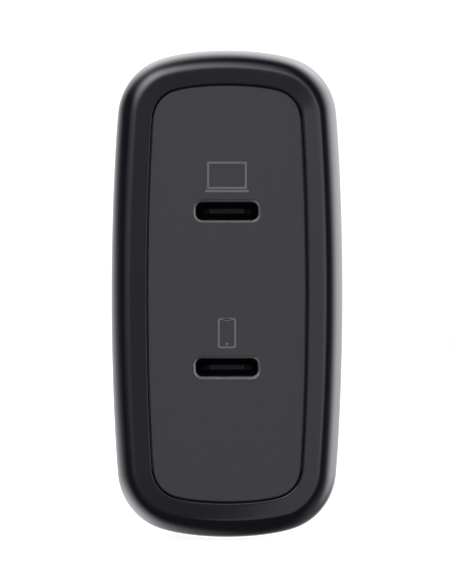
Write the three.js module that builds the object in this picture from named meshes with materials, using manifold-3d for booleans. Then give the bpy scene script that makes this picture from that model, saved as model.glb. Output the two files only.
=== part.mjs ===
// Two-port USB-C wall charger with a folding two-blade plug, as an assembly of separate pieces.
// Millimetres. +Z is up, the sockets face -Y, and the rear face lies in the plane y = 0, against the wall.
// The origin is the centre of that rear face.

import * as THREE from "three";
import { mergeVertices } from "three/addons/utils/BufferGeometryUtils.js";
import Module from "manifold-3d";

const wasm = await Module();
wasm.setup();

// ---------------------------------------------------------------------------------------------------
// Driving dimensions
// ---------------------------------------------------------------------------------------------------

const DEPTH = 62;
// The case and the middle of the groove round the face are each outlined by three arcs in a quarter.
const CASE = { halfWidth: 15.6, halfHeight: 32.75, side: 392, end: 33.1, corner: 8.7 };
const GROOVE = { halfWidth: 10.62, halfHeight: 27.9, side: 480, end: 35.5, corner: 4.25 };
const WALL = 2; // moulded wall of both housings
const GAP = 0.3; // between neighbouring pieces

const FRONT = -DEPTH; // plane of the flat ring round the face
const EDGE_WIDTH = 2.75; // the rounded front edge, seen from the front
const EDGE_DEPTH = 3.6; // and how far back it reaches
const FACE_RECESS = 0.3;
const FACE_THICKNESS = 1.4;
const LEDGE = 1.6; // the step that the face plate rests on

const PARTING = -14; // where the two housings meet
const LAP = 3; // the rear housing's lip inside the front one
const REAR_EDGE = 3; // radius of the rear edge
const REAR_WALL = 2.2;

const PORT_HEIGHTS = { upper: 11.1, lower: -9.9 };
const SOCKET = { width: 8.34, height: 2.56, wall: 0.38, length: 8.6 };

const BLADE = { thickness: 1.5, width: 6.35, spacing: 12.7, reach: 17.5 };
const PIVOT = { y: -3.6, z: 9.5 };
const BARREL_RADIUS = 3.2;
const BARREL_HALF_LENGTH = 8.3;
const TRUNNION_RADIUS = 1.4;
const SHOULDER = -PIVOT.y; // from the pivot to where a blade takes its full width
const TAIL = 4.6; // how far a blade's contact end reaches behind the pivot
const TRAY = { halfWidth: 10.2, halfHeight: 17, corner: 3, depth: 9 };

const BOARD_FACE = -10; // component side of the main board, an x plane
const BOARD_THICKNESS = 1.6;
const SEAT = BOARD_FACE + GAP; // where components on the main board start
const SPREADER_FACE = 11.1; // board side of the heat spreader, an x plane

// ---------------------------------------------------------------------------------------------------
// Materials
// ---------------------------------------------------------------------------------------------------

function finish(color, roughness, metalness) {
  return new THREE.MeshStandardMaterial({ color, roughness, metalness, flatShading: true });
}

const FINISH = {
  shell: finish(0x17161a, 0.2, 0),
  face: finish(0x3f3e42, 0.5, 0),
  innerPlastic: finish(0x1c1c1e, 0.6, 0),
  steel: finish(0x8b8b8d, 0.35, 1),
  gold: finish(0xd8a94a, 0.3, 1),
  tongue: finish(0x161617, 0.5, 0),
  nickel: finish(0xb9b7b0, 0.28, 1),
  bronze: finish(0xb98a4e, 0.35, 1),
  circuitBoard: finish(0x14532d, 0.5, 0),
  chip: finish(0x18191b, 0.55, 0),
  ferrite: finish(0x2d2c2e, 0.7, 0),
  copper: finish(0xb0612f, 0.35, 1),
  tape: finish(0xd9b423, 0.4, 0),
  canSleeve: finish(0x22313f, 0.45, 0),
  canMetal: finish(0xc4c6c8, 0.3, 1),
  yellowBox: finish(0xd8c13a, 0.5, 0),
  blueCeramic: finish(0x2b63a8, 0.45, 0),
  greenDisc: finish(0x31473a, 0.5, 0),
  fuseBody: finish(0x8a4a2a, 0.5, 0),
  redLead: finish(0x9d1f1d, 0.45, 0),
  blackLead: finish(0x17171a, 0.45, 0),
  aluminium: finish(0xc7c9cb, 0.4, 1),
  pad: finish(0x7d8fa6, 0.8, 0),
  film: finish(0xd9d6c8, 0.5, 0),
};

// ---------------------------------------------------------------------------------------------------
// From three.js geometry to solids and back
// ---------------------------------------------------------------------------------------------------

const charger = new THREE.Group();

// A closed three.js geometry as a solid that can be joined and cut.
function solid(geometry) {
  const bare = geometry.index ? geometry.toNonIndexed() : geometry.clone();
  for (const name of Object.keys(bare.attributes)) {
    if (name !== "position") bare.deleteAttribute(name);
  }
  const merged = mergeVertices(bare, 1e-4);
  return new wasm.Manifold(
    new wasm.Mesh({
      numProp: 3,
      vertProperties: merged.attributes.position.array,
      triVerts: new Uint32Array(merged.index.array),
    }),
  );
}

// Adds one named piece to the charger.
function add(name, piece, material) {
  const result = piece.getMesh();
  const geometry = new THREE.BufferGeometry();
  geometry.setAttribute("position", new THREE.BufferAttribute(result.vertProperties, 3));
  geometry.setIndex(new THREE.BufferAttribute(result.triVerts, 1));
  const mesh = new THREE.Mesh(geometry, material);
  mesh.name = name;
  charger.add(mesh);
}

function join(first, ...others) {
  return others.reduce((sum, other) => sum.add(other), first);
}

function cut(first, ...others) {
  return others.reduce((rest, other) => rest.subtract(other), first);
}

// ---------------------------------------------------------------------------------------------------
// Simple solids
// ---------------------------------------------------------------------------------------------------

// A box from its lowest and highest corners.
function box([x0, y0, z0], [x1, y1, z1]) {
  const geometry = new THREE.BoxGeometry(x1 - x0, y1 - y0, z1 - z0);
  geometry.translate((x0 + x1) / 2, (y0 + y1) / 2, (z0 + z1) / 2);
  return solid(geometry);
}

// A shape drawn in X and Z, with thickness along Y.
function plateY(shape, y0, y1, curveSegments = 6) {
  const geometry = new THREE.ExtrudeGeometry(shape, {
    depth: y1 - y0,
    bevelEnabled: false,
    curveSegments,
  });
  geometry.rotateX(Math.PI / 2);
  geometry.translate(0, y1, 0);
  return solid(geometry);
}

// A shape drawn in Y and Z, with thickness along X.
function plateX(shape, x0, x1, curveSegments = 6) {
  const geometry = new THREE.ExtrudeGeometry(shape, {
    depth: x1 - x0,
    bevelEnabled: false,
    curveSegments,
  });
  const [x, y, z] = [[1, 0, 0], [0, 1, 0], [0, 0, 1]].map((v) => new THREE.Vector3(...v));
  geometry.applyMatrix4(new THREE.Matrix4().makeBasis(y, z, x));
  geometry.translate(x0, 0, 0);
  return solid(geometry);
}

// A round bar along X.
function barX(radius, x0, x1, y, z, segments = 24) {
  const geometry = new THREE.CylinderGeometry(radius, radius, x1 - x0, segments);
  geometry.rotateZ(Math.PI / 2);
  geometry.translate((x0 + x1) / 2, y, z);
  return solid(geometry);
}

// A turned piece with its axis along X. The profile holds [radius, x] pairs, from the low end on the axis
// to the high end on the axis.
function turnedX(profile, y, z, segments = 20) {
  const points = profile.map(([radius, x]) => new THREE.Vector2(radius, x));
  const geometry = new THREE.LatheGeometry(points, segments);
  geometry.rotateZ(-Math.PI / 2);
  geometry.translate(0, y, z);
  return solid(geometry);
}

// A rounded rectangle centred on (u, v).
function roundedRect(width, height, radius, u = 0, v = 0) {
  const [left, right] = [u - width / 2, u + width / 2];
  const [low, high] = [v - height / 2, v + height / 2];
  const shape = new THREE.Shape();
  shape.moveTo(left + radius, low);
  shape.lineTo(right - radius, low);
  shape.absarc(right - radius, low + radius, radius, -Math.PI / 2, 0);
  shape.lineTo(right, high - radius);
  shape.absarc(right - radius, high - radius, radius, 0, Math.PI / 2);
  shape.lineTo(left + radius, high);
  shape.absarc(left + radius, high - radius, radius, Math.PI / 2, Math.PI);
  shape.lineTo(left, low + radius);
  shape.absarc(left + radius, low + radius, radius, Math.PI, 1.5 * Math.PI);
  shape.closePath();
  return shape;
}

// A slot shape with full-round ends, wide along u.
function stadium(width, height, v = 0) {
  const radius = height / 2;
  const reach = width / 2 - radius;
  const shape = new THREE.Shape();
  shape.moveTo(-reach, v - radius);
  shape.lineTo(reach, v - radius);
  shape.absarc(reach, v, radius, -Math.PI / 2, Math.PI / 2);
  shape.lineTo(-reach, v + radius);
  shape.absarc(-reach, v, radius, Math.PI / 2, 1.5 * Math.PI);
  shape.closePath();
  return shape;
}

// ---------------------------------------------------------------------------------------------------
// Outlines in X and Z: three arcs in each quarter, each tangent to the next
// ---------------------------------------------------------------------------------------------------

// The upper of the two points where two circles cross.
function crossing(a, radiusA, b, radiusB) {
  const between = b.clone().sub(a);
  const distance = between.length();
  const along = (radiusA ** 2 - radiusB ** 2 + distance ** 2) / (2 * distance);
  const aside = Math.sqrt(radiusA ** 2 - along ** 2);
  const unit = between.normalize();
  const normal = new THREE.Vector2(-unit.y, unit.x);
  return a.clone().addScaledVector(unit, along).addScaledVector(normal, aside);
}

// An outline as points, anticlockwise in x and z. An inset moves every arc inwards by the same distance.
function outline({ halfWidth, halfHeight, side, end, corner }, inset = 0) {
  const sideCentre = new THREE.Vector2(halfWidth - side, 0);
  const endCentre = new THREE.Vector2(0, halfHeight - end);
  const cornerCentre = crossing(sideCentre, side - corner, endCentre, end - corner);
  const cornerStart = cornerCentre.clone().sub(sideCentre).angle();
  const cornerEnd = cornerCentre.clone().sub(endCentre).angle();
  const arcs = [
    { centre: sideCentre, radius: side, from: 0, to: cornerStart, steps: 3 },
    { centre: cornerCentre, radius: corner, from: cornerStart, to: cornerEnd, steps: 6 },
    { centre: endCentre, radius: end, from: cornerEnd, to: Math.PI / 2, steps: 3 },
  ];
  const quarter = [];
  for (const { centre, radius, from, to, steps } of arcs) {
    for (let i = 0; i < steps; i++) {
      const angle = from + ((to - from) * i) / steps;
      const offset = new THREE.Vector2(Math.cos(angle), Math.sin(angle)).multiplyScalar(radius - inset);
      quarter.push(centre.clone().add(offset));
    }
  }
  const right = [...quarter, new THREE.Vector2(0, halfHeight - inset)];
  const left = quarter.slice(1).reverse().map((p) => new THREE.Vector2(-p.x, p.y));
  const upper = [...right, ...left];
  const lower = upper.map((p) => new THREE.Vector2(-p.x, -p.y));
  return [...upper, ...lower];
}

// A solid through one outline at several places along Y, given as [inset, y] from front to rear.
function loft(base, sections) {
  const rings = sections.map(([inset, y]) => outline(base, inset).map((p) => [p.x, y, p.y]));
  const count = rings[0].length;
  const positions = rings.flat(2);
  const front = rings.length * count;
  const rear = front + 1;
  positions.push(0, sections[0][1], 0, 0, sections.at(-1)[1], 0);
  const indices = [];
  for (let j = 0; j < count; j++) {
    const next = (j + 1) % count;
    for (let i = 0; i + 1 < rings.length; i++) {
      const [near, far] = [i * count, (i + 1) * count];
      indices.push(near + j, far + j, near + next);
      indices.push(near + next, far + j, far + next);
    }
    const last = (rings.length - 1) * count;
    indices.push(front, j, next);
    indices.push(rear, last + next, last + j);
  }
  const geometry = new THREE.BufferGeometry();
  geometry.setAttribute("position", new THREE.Float32BufferAttribute(positions, 3));
  geometry.setIndex(indices);
  return solid(geometry);
}

// A rounded edge as [inset, y] sections, from the flat face at faceY to the full outline.
function roundedEdge(width, faceY, depth, steps) {
  const sections = [];
  for (let i = 0; i <= steps; i++) {
    const angle = ((Math.PI / 2) * i) / steps;
    sections.push([width * (1 - Math.sin(angle)), faceY + depth * (1 - Math.cos(angle))]);
  }
  return sections;
}

// ---------------------------------------------------------------------------------------------------
// Case
// ---------------------------------------------------------------------------------------------------

function addFrontHousing() {
  const rear = PARTING - GAP / 2;
  const body = loft(CASE, [...roundedEdge(EDGE_WIDTH, FRONT, EDGE_DEPTH, 5), [0, rear]]);
  const seat = FRONT + FACE_RECESS + FACE_THICKNESS + GAP;
  const recess = loft(GROOVE, [[-GAP / 2, FRONT - 1], [-GAP / 2, seat]]);
  const window = loft(GROOVE, [[LEDGE, FRONT - 1], [LEDGE, FRONT + EDGE_DEPTH + 1]]);
  const cavity = loft(CASE, [[WALL + 1.2, seat + 1.5], [WALL, seat + 2.7], [WALL, rear + 1]]);
  add("front_housing", cut(body, recess, window, cavity), FINISH.shell);
}

function addFacePlate() {
  const front = FRONT + FACE_RECESS;
  const [side, softened] = [GAP / 2, GAP / 2 + 0.1];
  let plate = loft(GROOVE, [[softened, front], [side, front + 0.15], [side, front + FACE_THICKNESS]]);
  for (const height of Object.values(PORT_HEIGHTS)) {
    const rim = SOCKET.wall + 0.2;
    const opening = stadium(SOCKET.width + 2 * rim, SOCKET.height + 2 * rim, height);
    plate = plate.subtract(plateY(opening, FRONT - 1, FRONT + 4));
  }
  add("face_plate", plate, FINISH.face);
}

function addRearHousing() {
  const front = PARTING + GAP / 2;
  const edge = roundedEdge(REAR_EDGE, 0, REAR_EDGE, 4).reverse();
  const shell = loft(CASE, [[0, front], ...edge.map(([inset, y]) => [inset, -y])]);
  const lip = loft(CASE, [[WALL + GAP, front - LAP], [WALL + GAP, front + 1]]);
  const inner = WALL + GAP + 1;
  const cavity = loft(CASE, [[inner, front - LAP - 1], [inner, -REAR_WALL]]);
  const width = 2 * (TRAY.halfWidth + GAP);
  const height = 2 * (TRAY.halfHeight + GAP);
  const window = plateY(roundedRect(width, height, TRAY.corner + GAP), -REAR_WALL - 1, 1);
  add("rear_housing", cut(join(shell, lip), cavity, window), FINISH.shell);
}

// ---------------------------------------------------------------------------------------------------
// Folding plug
// ---------------------------------------------------------------------------------------------------

const BLADES = { left: -BLADE.spacing / 2, right: BLADE.spacing / 2 };

function addTray() {
  const { halfWidth, halfHeight, corner, depth } = TRAY;
  const body = plateY(roundedRect(2 * halfWidth, 2 * halfHeight, corner), -depth, 0);
  const flange = plateY(
    roundedRect(2 * halfWidth + 2, 2 * halfHeight + 2, corner),
    -REAR_WALL - GAP - 1.4,
    -REAR_WALL - GAP,
  );
  const clear = 0.4;
  const pocket = box(
    [-BARREL_HALF_LENGTH - GAP, -depth - 1, PIVOT.z - SHOULDER],
    [BARREL_HALF_LENGTH + GAP, 1, PIVOT.z + SHOULDER],
  );
  const tip = PIVOT.z - SHOULDER - BLADE.reach - clear;
  const slots = Object.values(BLADES).flatMap((x) => {
    const side = BLADE.thickness / 2 + GAP;
    return [
      box([x - side, PIVOT.y - BLADE.width / 2 - clear, tip], [x + side, 1, PIVOT.z]),
      box([x - side, -depth - 1, PIVOT.z], [x + side, PIVOT.y + 1.9, PIVOT.z + TAIL + clear]),
    ];
  });
  const reach = halfWidth - 0.6;
  const cradle = join(
    barX(TRUNNION_RADIUS + GAP, -reach, reach, PIVOT.y, PIVOT.z, 16),
    box(
      [-reach, -depth - 1, PIVOT.z - TRUNNION_RADIUS - GAP],
      [reach, PIVOT.y, PIVOT.z + TRUNNION_RADIUS + GAP],
    ),
  );
  const scoop = plateY(roundedRect(10.8, 9, 2.5, 0, -10), -4.8, 1);
  add("blade_tray", cut(join(body, flange), pocket, ...slots, cradle, scoop), FINISH.innerPlastic);
}

function addRetainer() {
  const { halfWidth, depth } = TRAY;
  const plateRear = -depth - GAP;
  const plate = box([-halfWidth + 0.4, plateRear - 1.5, 1], [halfWidth - 0.4, plateRear, 16]);
  const width = TRUNNION_RADIUS - 0.1;
  const posts = [-1, 1].map((side) => {
    const [inner, outer] = [BARREL_HALF_LENGTH + GAP + 0.1, halfWidth - 0.9].map((x) => side * x);
    return box(
      [Math.min(inner, outer), plateRear - 0.5, PIVOT.z - width],
      [Math.max(inner, outer), PIVOT.y - TRUNNION_RADIUS - GAP, PIVOT.z + width],
    );
  });
  const windows = Object.values(BLADES).map((x) =>
    box([x - 1.2, plateRear - 3, 6.0], [x + 1.2, plateRear + 1, 7.1]),
  );
  add("blade_retainer", cut(join(plate, ...posts), ...windows), FINISH.innerPlastic);
}

function addCarrier() {
  const barrel = barX(BARREL_RADIUS, -BARREL_HALF_LENGTH, BARREL_HALF_LENGTH, PIVOT.y, PIVOT.z, 32);
  const reach = TRAY.halfWidth - 0.9;
  const trunnions = barX(TRUNNION_RADIUS, -reach, reach, PIVOT.y, PIVOT.z, 16);
  const sockets = Object.values(BLADES).map((x) => {
    const side = BLADE.thickness / 2 + 0.15;
    return box(
      [x - side, PIVOT.y - 1.6 - 0.15, PIVOT.z - BARREL_RADIUS - 1],
      [x + side, PIVOT.y + 1.6 + 0.15, PIVOT.z + BARREL_RADIUS + 1],
    );
  });
  // Two flats, a quarter turn apart, for the detent spring.
  const flat = BARREL_RADIUS - 0.35;
  const flats = [
    box([-3, PIVOT.y - BARREL_RADIUS - 1, PIVOT.z - 4], [3, PIVOT.y - flat, PIVOT.z + 4]),
    box([-3, PIVOT.y - 4, PIVOT.z + flat], [3, PIVOT.y + 4, PIVOT.z + BARREL_RADIUS + 1]),
  ];
  add("blade_carrier", cut(join(barrel, trunnions), ...sockets, ...flats), FINISH.innerPlastic);
}

// One blade, folded down: a tail behind the pivot, a narrow neck in the carrier, then the full blade.
function addBlade(side) {
  const x = BLADES[side];
  const half = BLADE.width / 2;
  const neck = 1.6;
  const shoulder = PIVOT.z - SHOULDER;
  const tip = shoulder - BLADE.reach;
  const chamfer = 1.5;
  const shape = new THREE.Shape();
  shape.moveTo(PIVOT.y - neck, PIVOT.z + TAIL - 1);
  shape.lineTo(PIVOT.y - neck, shoulder);
  shape.lineTo(PIVOT.y - half, shoulder);
  shape.lineTo(PIVOT.y - half, tip + chamfer);
  shape.lineTo(PIVOT.y - half + chamfer, tip);
  shape.lineTo(PIVOT.y + half - chamfer, tip);
  shape.lineTo(PIVOT.y + half, tip + chamfer);
  shape.lineTo(PIVOT.y + half, shoulder);
  shape.lineTo(PIVOT.y + neck, shoulder);
  shape.lineTo(PIVOT.y + neck, PIVOT.z + TAIL - 1);
  shape.lineTo(PIVOT.y + neck - 0.8, PIVOT.z + TAIL - 0.2);
  shape.lineTo(PIVOT.y - neck + 0.8, PIVOT.z + TAIL - 0.2);
  shape.closePath();
  const hole = new THREE.Path();
  hole.absarc(PIVOT.y, shoulder - 11.9, 1.55, 0, 2 * Math.PI, true);
  shape.holes.push(hole);
  add(`blade_${side}`, plateX(shape, x - BLADE.thickness / 2, x + BLADE.thickness / 2, 10), FINISH.nickel);
}

// A leaf that a blade's tail presses when the plug is out, with its leg through the retainer.
function addContactSpring(side) {
  const x = BLADES[side];
  const leafHigh = PIVOT.y - TAIL - 0.1;
  const leaf = box([x - 0.9, leafHigh - 0.35, 6.35], [x + 0.9, leafHigh, PIVOT.z + 3]);
  const leg = box([x - 0.9, -13.4, 6.35], [x + 0.9, leafHigh, 6.75]);
  add(`contact_spring_${side}`, join(leaf, leg), FINISH.bronze);
}

function addDetentSpring() {
  const y = PIVOT.y - BARREL_RADIUS - GAP;
  const leaf = box([-2.6, y - 0.35, 6.4], [2.6, y, 12.6]);
  const foot = box([-2.6, -TRAY.depth, 12.25], [2.6, y, 12.6]);
  add("detent_spring", join(leaf, foot), FINISH.steel);
}

// ---------------------------------------------------------------------------------------------------
// Sockets and their board
// ---------------------------------------------------------------------------------------------------

const SOCKET_FRONT = FRONT + FACE_RECESS + 0.05;
const SOCKET_REAR = SOCKET_FRONT + SOCKET.length;

function addSocket(name, height) {
  const { width, height: opening, wall } = SOCKET;
  const outer = stadium(width + 2 * wall, opening + 2 * wall, height);
  outer.holes.push(stadium(width, opening, height));
  add(`${name}_port_shell`, plateY(outer, SOCKET_FRONT, SOCKET_REAR), FINISH.steel);

  const tongueHalf = 0.35;
  const base = plateY(stadium(width - 0.4, opening - 0.4, height), SOCKET_REAR - 2, SOCKET_REAR - 0.4);
  const tongue = box([-3.35, SOCKET_FRONT + 1, height - tongueHalf], [3.35, SOCKET_REAR - 1, height + tongueHalf]);
  const slits = [-1, 1].map((side) => {
    const near = height + side * tongueHalf;
    const far = height + side * (tongueHalf + 0.25);
    return box([-3.1, SOCKET_REAR - 3, Math.min(near, far)], [3.1, SOCKET_REAR, Math.max(near, far)]);
  });
  add(`${name}_port_tongue`, cut(join(base, tongue), ...slits), FINISH.tongue);

  // Twelve contacts on each side of the tongue, joined by a strip behind it.
  const pitch = 0.5;
  const strip = box([-3, SOCKET_REAR - 0.3, height - 0.6], [3, SOCKET_REAR - 0.05, height + 0.6]);
  const fingers = [];
  for (const side of [-1, 1]) {
    for (let i = 0; i < 12; i++) {
      const x = (i - 5.5) * pitch;
      const near = height + side * (tongueHalf + 0.05);
      const far = height + side * (tongueHalf + 0.17);
      fingers.push(box(
        [x - 0.13, SOCKET_FRONT + 1.6, Math.min(near, far)],
        [x + 0.13, SOCKET_REAR - 0.2, Math.max(near, far)],
      ));
    }
  }
  add(`${name}_port_contacts`, join(strip, ...fingers), FINISH.gold);
}

function addPortBoard() {
  const front = SOCKET_REAR + GAP;
  add("port_board", plateY(roundedRect(19.5, 48, 1.5, 0.7, 0), front, front + 1.2), FINISH.circuitBoard);
}

// ---------------------------------------------------------------------------------------------------
// Main board and what stands on it
// ---------------------------------------------------------------------------------------------------

const PORT_BOARD_REAR = SOCKET_REAR + GAP + 1.2;

function addMainBoard() {
  const [front, rear] = [PORT_BOARD_REAR + GAP, PARTING - LAP - GAP];
  const shape = roundedRect(rear - front, 52, 1.5, (front + rear) / 2, 0);
  add("main_board", plateX(shape, BOARD_FACE - BOARD_THICKNESS, BOARD_FACE), FINISH.circuitBoard);
  const sheet = roundedRect(rear - front - 2, 46, 1, (front + rear) / 2, 0);
  const sheetFace = BOARD_FACE - BOARD_THICKNESS - GAP;
  add("insulation_sheet", plateX(sheet, sheetFace - 0.3, sheetFace), FINISH.film);
}

function addHeader() {
  const body = box([SEAT, PORT_BOARD_REAR + 1.2, -7], [SEAT + 2.5, PORT_BOARD_REAR + 3.7, 7]);
  const pins = [];
  for (let i = 0; i < 6; i++) {
    const z = (i - 2.5) * 2.2;
    pins.push(box([SEAT + 1, PORT_BOARD_REAR + 0.3, z - 0.3], [SEAT + 1.6, PORT_BOARD_REAR + 2, z + 0.3]));
  }
  add("board_header", join(body, ...pins), FINISH.chip);
}

// A block on the main board, given by its centre in y and z and its size (x is its height off the board).
function addBlock(name, { y, z, size: [height, length, width], corner = 0.3 }, material) {
  add(name, plateX(roundedRect(length, width, corner, y, z), SEAT, SEAT + height, 3), material);
}

// A can that stands on the main board, with a rubber foot, a rolled groove and a scored top.
function addCan(name, { y, z, radius, height }, material) {
  const top = SEAT + height;
  const groove = SEAT + 2.2;
  const profile = [
    [0, SEAT],
    [radius - 0.8, SEAT],
    [radius - 0.8, SEAT + 0.6],
    [radius, SEAT + 0.8],
    [radius, groove],
    [radius - 0.45, groove + 0.5],
    [radius, groove + 1],
    [radius, top - 0.5],
    [radius - 0.5, top],
    [0, top],
  ];
  add(name, turnedX(profile, y, z), material);
}

// A disc that stands on edge on the main board, facing along Y.
function addDisc(name, { y, z, radius, thickness }, material) {
  const disc = new THREE.Shape();
  disc.absarc(SEAT + radius, z, radius, 0, 2 * Math.PI);
  add(name, plateY(disc, y - thickness / 2, y + thickness / 2, 10), material);
}

function addInputSide() {
  addBlock("x_capacitor", { y: -35, z: 19.6, size: [11, 5.6, 12.6], corner: 0.8 }, FINISH.yellowBox);
  addBlock("bridge_rectifier", { y: -40, z: 19.6, size: [9, 3.2, 12], corner: 0.5 }, FINISH.chip);
  const fuse = [[0, SEAT], [2.8, SEAT], [3, SEAT + 0.3], [3, SEAT + 6.6], [2.6, SEAT + 7], [0, SEAT + 7]];
  add("fuse", turnedX(fuse, -20.5, 3, 16), FINISH.fuseBody);
  addDisc("thermistor", { y: -44, z: 20, radius: 4.1, thickness: 3.2 }, FINISH.greenDisc);
  addDisc("y_capacitor", { y: -20.2, z: -4.4, radius: 3.4, thickness: 2.8 }, FINISH.blueCeramic);
  [-23.2, -33.8, -44.4].forEach((y, i) => {
    addCan(`bulk_capacitor_${i + 1}`, { y, z: -20, radius: 5, height: 20 }, FINISH.canSleeve);
  });
}

// A ring core with its axis along X and a winding over each side of it.
function addChoke() {
  const [y, z] = [-24.8, 19.1];
  const [low, high] = [SEAT + 1.4, SEAT + 6];
  const ring = (inner, outer, x0, x1) => cut(barX(outer, x0, x1, y, z), barX(inner, x0 - 1, x1 + 1, y, z));
  add("choke_core", ring(3, 6, low, high), FINISH.ferrite);
  const sleeve = cut(ring(1.9, 7.1, low - 1.1, high + 1.1), ring(2.7, 6.3, low - GAP, high + GAP));
  for (const [name, side] of [["line", 1], ["neutral", -1]]) {
    const [z0, z1] = side > 0 ? [z + 1.2, z + 9] : [z - 9, z - 1.2];
    const half = sleeve.intersect(box([low - 3, y - 9, z0], [high + 3, y + 9, z1]));
    add(`choke_winding_${name}`, half, FINISH.copper);
  }
}

function addTransformer() {
  const [y, z] = [-32.5, 0];
  const [low, high] = [SEAT, SEAT + 16.6];
  const middle = (low + high) / 2;
  const [halfY, halfZ] = [8.5, 11.5];
  const coreHalf = (x0, x1, open) => {
    const block = box([x0, y - halfY, z - halfZ], [x1, y + halfY, z + halfZ]);
    const trough = cut(
      box([open ? x0 - 1 : x0 + 2.4, y - halfY - 1, z - 8.8], [open ? x1 - 2.4 : x1 + 1, y + halfY + 1, z + 8.8]),
      barX(4, x0 - 2, x1 + 2, y, z, 20),
    );
    return cut(block, trough);
  };
  add("transformer_core_lower", coreHalf(low, middle - 0.15, false), FINISH.ferrite);
  add("transformer_core_upper", coreHalf(middle + 0.15, high, true), FINISH.ferrite);

  const [bobbinLow, bobbinHigh] = [low + 2.4 + GAP, high - 2.4 - GAP];
  const tube = barX(5, bobbinLow, bobbinHigh, y, z);
  const flanges = [bobbinLow, bobbinHigh - 0.8].map((x) => barX(8.2, x, x + 0.8, y, z));
  const bore = barX(4 + GAP, bobbinLow - 1, bobbinHigh + 1, y, z);
  add("transformer_bobbin", cut(join(tube, ...flanges), bore), FINISH.chip);
  const [woundLow, woundHigh] = [bobbinLow + 0.8 + GAP, bobbinHigh - 0.8 - GAP];
  const winding = cut(barX(8, woundLow, woundHigh, y, z), barX(5 + GAP, woundLow - 1, woundHigh + 1, y, z));
  add("transformer_winding", winding, FINISH.tape);

  const pad = roundedRect(14, 18, 1, y, z);
  add("thermal_pad", plateX(pad, high + GAP, SPREADER_FACE - GAP), FINISH.pad);
}

function addHeatSpreader() {
  const shape = roundedRect(30, 40, 2, -33, 0);
  add("heat_spreader", plateX(shape, SPREADER_FACE, SPREADER_FACE + 0.8), FINISH.aluminium);
}

function addControlAndOutput() {
  addBlock("power_switch", { y: -20.4, z: -11.5, size: [0.9, 6, 5], corner: 0.2 }, FINISH.chip);
  addBlock("controller", { y: -20.4, z: 8.3, size: [1.5, 5, 4], corner: 0.2 }, FINISH.chip);
  addBlock("optocoupler", { y: -48.3, z: 20, size: [3.2, 3.8, 4.6] }, FINISH.chip);
  addBlock("output_rectifier", { y: -44.4, z: 1, size: [1, 5, 3.6], corner: 0.2 }, FINISH.chip);
  addBlock("upper_buck_inductor", { y: -44.9, z: 11.2, size: [4, 5.6, 6.2], corner: 0.6 }, FINISH.ferrite);
  addBlock("lower_buck_inductor", { y: -44.9, z: 5.4, size: [4, 5.6, 4.6], corner: 0.6 }, FINISH.ferrite);
  [-4.6, -11.2].forEach((z, i) => {
    addCan(`output_capacitor_${i + 1}`, { y: -44.4, z, radius: 3, height: 8 }, FINISH.canMetal);
  });
  for (const [name, height] of Object.entries(PORT_HEIGHTS)) {
    const face = PORT_BOARD_REAR + GAP;
    add(`${name}_port_controller`, plateY(roundedRect(4, 4, 0.2, 4, height), face, face + 0.9, 3), FINISH.chip);
  }
}

// An insulated wire from a contact spring's leg to the main board.
function addLead(side, landing, material) {
  const x = BLADES[side];
  const path = new THREE.CubicBezierCurve3(
    new THREE.Vector3(x, -13.7, 6.6),
    new THREE.Vector3(x, -17.4, 7.8),
    new THREE.Vector3(landing.x + 4, -15.6, landing.z - 1.5),
    new THREE.Vector3(landing.x, landing.y, landing.z),
  );
  const section = new THREE.Shape();
  section.absarc(0, 0, 0.7, 0, 2 * Math.PI);
  const geometry = new THREE.ExtrudeGeometry(section, { steps: 16, curveSegments: 4, extrudePath: path });
  add(`mains_lead_${side}`, solid(geometry), material);
}

// ---------------------------------------------------------------------------------------------------
// The assembly
// ---------------------------------------------------------------------------------------------------

addFrontHousing();
addFacePlate();
addRearHousing();

addTray();
addRetainer();
addCarrier();
for (const side of Object.keys(BLADES)) {
  addBlade(side);
  addContactSpring(side);
}
addDetentSpring();
addLead("left", { x: -9, y: -18.6, z: 11.6 }, FINISH.blackLead);
addLead("right", { x: -9, y: -18.6, z: 13.8 }, FINISH.redLead);

for (const [name, height] of Object.entries(PORT_HEIGHTS)) {
  addSocket(name, height);
}
addPortBoard();

addMainBoard();
addHeader();
addInputSide();
addChoke();
addTransformer();
addHeatSpreader();
addControlAndOutput();

export default charger;
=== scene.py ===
"""A two-port USB-C wall charger with a folding two-blade plug, on a pale floor in soft studio light.

Lengths are in metres. Sizes that a person would give in millimetres are written as a number times MM.
+Z is up, the sockets face -Y, and the rear face lies in the plane y = 0.
"""

import math

import bmesh
import bpy
from mathutils import Matrix, Vector


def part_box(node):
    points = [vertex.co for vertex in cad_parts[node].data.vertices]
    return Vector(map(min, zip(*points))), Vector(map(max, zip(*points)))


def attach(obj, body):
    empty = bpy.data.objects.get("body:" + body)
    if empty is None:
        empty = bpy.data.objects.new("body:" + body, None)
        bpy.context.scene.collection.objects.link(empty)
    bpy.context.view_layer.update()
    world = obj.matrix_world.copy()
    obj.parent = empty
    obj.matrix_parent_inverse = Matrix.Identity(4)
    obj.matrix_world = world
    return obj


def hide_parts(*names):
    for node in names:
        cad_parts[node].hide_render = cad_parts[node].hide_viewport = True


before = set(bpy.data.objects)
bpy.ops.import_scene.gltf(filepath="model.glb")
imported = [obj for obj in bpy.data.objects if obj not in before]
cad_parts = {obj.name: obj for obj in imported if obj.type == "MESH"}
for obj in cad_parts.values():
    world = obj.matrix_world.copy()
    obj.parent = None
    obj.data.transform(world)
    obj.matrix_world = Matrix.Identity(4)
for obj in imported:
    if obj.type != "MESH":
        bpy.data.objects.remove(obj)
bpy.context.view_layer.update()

MM = 0.001

# ---------------------------------------------------------------------------------------------------------
# Sizes, from the frame
# ---------------------------------------------------------------------------------------------------------

HOUSING_LOW, HOUSING_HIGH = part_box("front_housing")
REAR_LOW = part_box("rear_housing")[0]
PANEL_LOW, PANEL_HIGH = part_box("face_plate")
TRAY_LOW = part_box("blade_tray")[0]

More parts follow.
